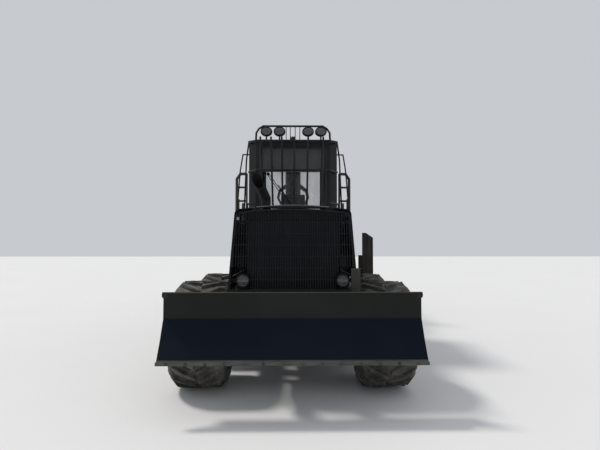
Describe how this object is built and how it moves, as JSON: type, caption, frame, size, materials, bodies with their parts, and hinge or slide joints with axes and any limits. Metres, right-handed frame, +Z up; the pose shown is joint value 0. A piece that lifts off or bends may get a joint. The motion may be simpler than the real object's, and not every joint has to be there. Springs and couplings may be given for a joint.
{
  "type": "forwarder",
  "caption": "Articulated forestry forwarder with bogie wheels, a front blade, a guarded cab, a log bunk and a slewing crane with a grapple.",
  "frame": {"origin": "on the ground, at the middle of the machine's overall length and width", "axes": "+Z up, +Y towards the rear (log bunk), -Y towards the blade, +X towards the machine's left"},
  "size_m": [2.66, 10.25, 4.4476],
  "materials": {
    "tyre_rubber": "matt, dusty",
    "rim_paint": "semi-gloss dark paint",
    "frame_paint": "dark paint, worn",
    "hood_paint": "semi-gloss black paint",
    "cab_paint": "dark grey paint",
    "guard_steel": "dark painted round bar",
    "window_glass": "clear safety glass",
    "lamp_glass": "clear lens",
    "exhaust_steel": "heat-dulled steel",
    "interior_plastic": "matt",
    "seat_fabric": "woven cloth",
    "blade_steel": "worn paint",
    "crane_paint": "dark paint",
    "ram_paint": "dark paint",
    "ram_chrome": "polished"
  },
  "bodies": {
    "front": {"front_frame": "frame_paint", "front_axle": "frame_paint", "engine": "frame_paint", "hood": "hood_paint", "grille": "hood_paint", "lamps": "lamp_glass", "exhaust": "exhaust_steel", "cab_shell": "cab_paint", "cab_glass": "window_glass", "cab_guard": "guard_steel", "roof_rack": "guard_steel", "cab_interior": "interior_plastic", "seat_cushion": "seat_fabric", "side_tanks": "frame_paint", "ladder": "frame_paint"},
    "rear": {"rear_frame": "frame_paint", "rear_axle": "frame_paint", "bunks": "guard_steel", "gate": "guard_steel", "rear_hitch": "frame_paint"},
    "hatch_left": {"hatch_left": "hood_paint"},
    "hatch_right": {"hatch_right": "hood_paint"},
    "cab_door": {"cab_door": "cab_paint", "door_glass": "window_glass"},
    "blade": {"blade": "blade_steel"},
    "blade_barrel": {"blade_barrel": "ram_paint"},
    "blade_rod": {"blade_rod": "ram_chrome"},
    "pillar": {"pillar": "crane_paint"},
    "boom": {"boom": "crane_paint"},
    "stick": {"stick": "crane_paint"},
    "extension": {"extension": "crane_paint"},
    "hanger": {"hanger": "crane_paint"},
    "rotator": {"rotator": "crane_paint"},
    "grapple": {"grapple_frame": "crane_paint"},
    "jaw_left": {"jaw_left": "crane_paint"},
    "jaw_right": {"jaw_right": "crane_paint"},
    "lift_barrel": {"lift_barrel": "ram_paint"},
    "lift_rod": {"lift_rod": "ram_chrome"},
    "stick_barrel": {"stick_barrel": "ram_paint"},
    "stick_rod": {"stick_rod": "ram_chrome"},
    "steer_left_barrel": {"steer_left_barrel": "ram_paint"},
    "steer_left_rod": {"steer_left_rod": "ram_chrome"},
    "steer_right_barrel": {"steer_right_barrel": "ram_paint"},
    "steer_right_rod": {"steer_right_rod": "ram_chrome"},
    "wheel_front_a_left": {"tyre_front_a_left": "tyre_rubber", "rim_front_a_left": "rim_paint"},
    "wheel_front_a_right": {"tyre_front_a_right": "tyre_rubber", "rim_front_a_right": "rim_paint"},
    "wheel_front_b_left": {"tyre_front_b_left": "tyre_rubber", "rim_front_b_left": "rim_paint"},
    "wheel_front_b_right": {"tyre_front_b_right": "tyre_rubber", "rim_front_b_right": "rim_paint"},
    "wheel_rear_a_left": {"tyre_rear_a_left": "tyre_rubber", "rim_rear_a_left": "rim_paint"},
    "wheel_rear_a_right": {"tyre_rear_a_right": "tyre_rubber", "rim_rear_a_right": "rim_paint"},
    "wheel_rear_b_left": {"tyre_rear_b_left": "tyre_rubber", "rim_rear_b_left": "rim_paint"},
    "wheel_rear_b_right": {"tyre_rear_b_right": "tyre_rubber", "rim_rear_b_right": "rim_paint"}
  },
  "joints": [
    {"name": "wheel_front_a_left", "type": "hinge", "parent": "front", "child": "wheel_front_a_left", "pos_m": [1.03, -3.995, 0.6], "axis": [1, 0, 0], "continuous": true},
    {"name": "wheel_front_a_right", "type": "hinge", "parent": "front", "child": "wheel_front_a_right", "pos_m": [-1.03, -3.995, 0.6], "axis": [1, 0, 0], "continuous": true},
    {"name": "wheel_front_b_left", "type": "hinge", "parent": "front", "child": "wheel_front_b_left", "pos_m": [1.03, -2.595, 0.6], "axis": [1, 0, 0], "continuous": true},
    {"name": "wheel_front_b_right", "type": "hinge", "parent": "front", "child": "wheel_front_b_right", "pos_m": [-1.03, -2.595, 0.6], "axis": [1, 0, 0], "continuous": true},
    {"name": "wheel_rear_a_left", "type": "hinge", "parent": "rear", "child": "wheel_rear_a_left", "pos_m": [1.03, 2.135, 0.6], "axis": [1, 0, 0], "continuous": true},
    {"name": "wheel_rear_a_right", "type": "hinge", "parent": "rear", "child": "wheel_rear_a_right", "pos_m": [-1.03, 2.135, 0.6], "axis": [1, 0, 0], "continuous": true},
    {"name": "wheel_rear_b_left", "type": "hinge", "parent": "rear", "child": "wheel_rear_b_left", "pos_m": [1.03, 3.535, 0.6], "axis": [1, 0, 0], "continuous": true},
    {"name": "wheel_rear_b_right", "type": "hinge", "parent": "rear", "child": "wheel_rear_b_right", "pos_m": [-1.03, 3.535, 0.6], "axis": [1, 0, 0], "continuous": true},
    {"name": "steer", "type": "hinge", "parent": "front", "child": "rear", "pos_m": [0, -0.485, 0.8], "axis": [0, 0, 1], "range_deg": [-38, 38]},
    {"name": "cab_door", "type": "hinge", "parent": "front", "child": "cab_door", "pos_m": [0.732, -0.913, 2.3], "axis": [0, 0, 1], "range_deg": [0, 85]},
    {"name": "hatch_left", "type": "hinge", "parent": "front", "child": "hatch_left", "pos_m": [0.66443, -3.425, 1.9], "axis": [0, -1, 0], "range_deg": [0, 75]},
    {"name": "hatch_right", "type": "hinge", "parent": "front", "child": "hatch_right", "pos_m": [-0.66443, -3.425, 1.9], "axis": [0, 1, 0], "range_deg": [0, 75]},
    {"name": "blade", "type": "hinge", "parent": "front", "child": "blade", "pos_m": [0, -3.675, 0.56], "axis": [1, 0, 0], "range_deg": [0, 20.5]},
    {"name": "blade_barrel", "type": "hinge", "parent": "front", "child": "blade_barrel", "pos_m": [0, -4.18, 1.04], "axis": [1, 0, 0], "range_deg": [-0.382, 0.3]},
    {"name": "blade_rod", "type": "slide", "parent": "blade_barrel", "child": "blade_rod", "axis": [0, 0.0594, -0.9982], "range_m": [-0.004, 0.1762]},
    {"name": "steer_right_barrel", "type": "hinge", "parent": "front", "child": "steer_right_barrel", "pos_m": [-0.25, -1.34, 0.815], "axis": [0, 0, 1], "range_deg": [-7.74, 7.74]},
    {"name": "steer_right_rod", "type": "slide", "parent": "steer_right_barrel", "child": "steer_right_rod", "axis": [-0.0279, 0.9996, 0], "range_m": [-0.1787, 0.1787]},
    {"name": "steer_left_barrel", "type": "hinge", "parent": "front", "child": "steer_left_barrel", "pos_m": [0.25, -1.34, 0.815], "axis": [0, 0, 1], "range_deg": [-7.74, 7.74]},
    {"name": "steer_left_rod", "type": "slide", "parent": "steer_left_barrel", "child": "steer_left_rod", "axis": [0.0279, 0.9996, 0], "range_m": [-0.1787, 0.1787]},
    {"name": "slew", "type": "hinge", "parent": "rear", "child": "pillar", "pos_m": [0, 0.265, 1.5], "axis": [0, 0, 1], "range_deg": [-190, 190]},
    {"name": "boom", "type": "hinge", "parent": "pillar", "child": "boom", "pos_m": [0, 0.165, 3.58], "axis": [1, 0, 0], "range_deg": [-12, 60]},
    {"name": "stick", "type": "hinge", "parent": "boom", "child": "stick", "pos_m": [0, 3.09944, 4.20373], "axis": [-1, 0, 0], "range_deg": [-12, 105]},
    {"name": "extension", "type": "slide", "parent": "stick", "child": "extension", "axis": [0, 1, 0], "range_m": [0, 1.05]},
    {"name": "hanger", "type": "hinge", "parent": "extension", "child": "hanger", "pos_m": [0, 4.79944, 4.20373], "axis": [1, 0, 0], "range_deg": [-30, 120]},
    {"name": "rotator_swing", "type": "hinge", "parent": "hanger", "child": "rotator", "pos_m": [0, 4.79944, 3.98373], "axis": [0, 1, 0], "range_deg": [-25, 25]},
    {"name": "rotator_spin", "type": "hinge", "parent": "rotator", "child": "grapple", "pos_m": [0, 4.79944, 3.68373], "axis": [0, 0, 1], "continuous": true},
    {"name": "jaw_left", "type": "hinge", "parent": "grapple", "child": "jaw_left", "pos_m": [0.13, 4.79944, 3.47374], "axis": [0, -1, 0], "range_deg": [0, 70]},
    {"name": "jaw_right", "type": "hinge", "parent": "grapple", "child": "jaw_right", "pos_m": [-0.13, 4.79944, 3.47374], "axis": [0, 1, 0], "range_deg": [0, 70]},
    {"name": "lift_barrel", "type": "hinge", "parent": "pillar", "child": "lift_barrel", "pos_m": [0, 0.545, 2.05], "axis": [1, 0, 0], "range_deg": [-2, 8.78]},
    {"name": "lift_rod", "type": "slide", "parent": "lift_barrel", "child": "lift_rod", "axis": [0, 0.1802, 0.9836], "range_m": [-0.1217, 0.5926]},
    {"name": "stick_barrel", "type": "hinge", "parent": "boom", "child": "stick_barrel", "pos_m": [0, 1.08077, 4.08136], "axis": [1, 0, 0], "range_deg": [-0.35, 0.78]},
    {"name": "stick_rod", "type": "slide", "parent": "stick_barrel", "child": "stick_rod", "axis": [0, 0.9832, 0.1824], "range_m": [-0.0669, 0.5547]}
  ],
  "couplings": [
    {"joint": "blade_barrel", "follows": "blade", "ratio": -0.00399},
    {"joint": "blade_rod", "follows": "blade", "m_per_rad": 0.48116},
    {"joint": "steer_right_barrel", "follows": "steer", "ratio": 0.19579},
    {"joint": "steer_right_rod", "follows": "steer", "m_per_rad": -0.26347},
    {"joint": "steer_left_barrel", "follows": "steer", "ratio": 0.19579},
    {"joint": "steer_left_rod", "follows": "steer", "m_per_rad": 0.26347},
    {"joint": "jaw_right", "follows": "jaw_left", "ratio": 1},
    {"joint": "lift_barrel", "follows": "boom", "ratio": 0.14137},
    {"joint": "lift_rod", "follows": "boom", "m_per_rad": 0.56211},
    {"joint": "stick_barrel", "follows": "stick", "ratio": 0.00454},
    {"joint": "stick_rod", "follows": "stick", "m_per_rad": 0.3005}
  ]
}
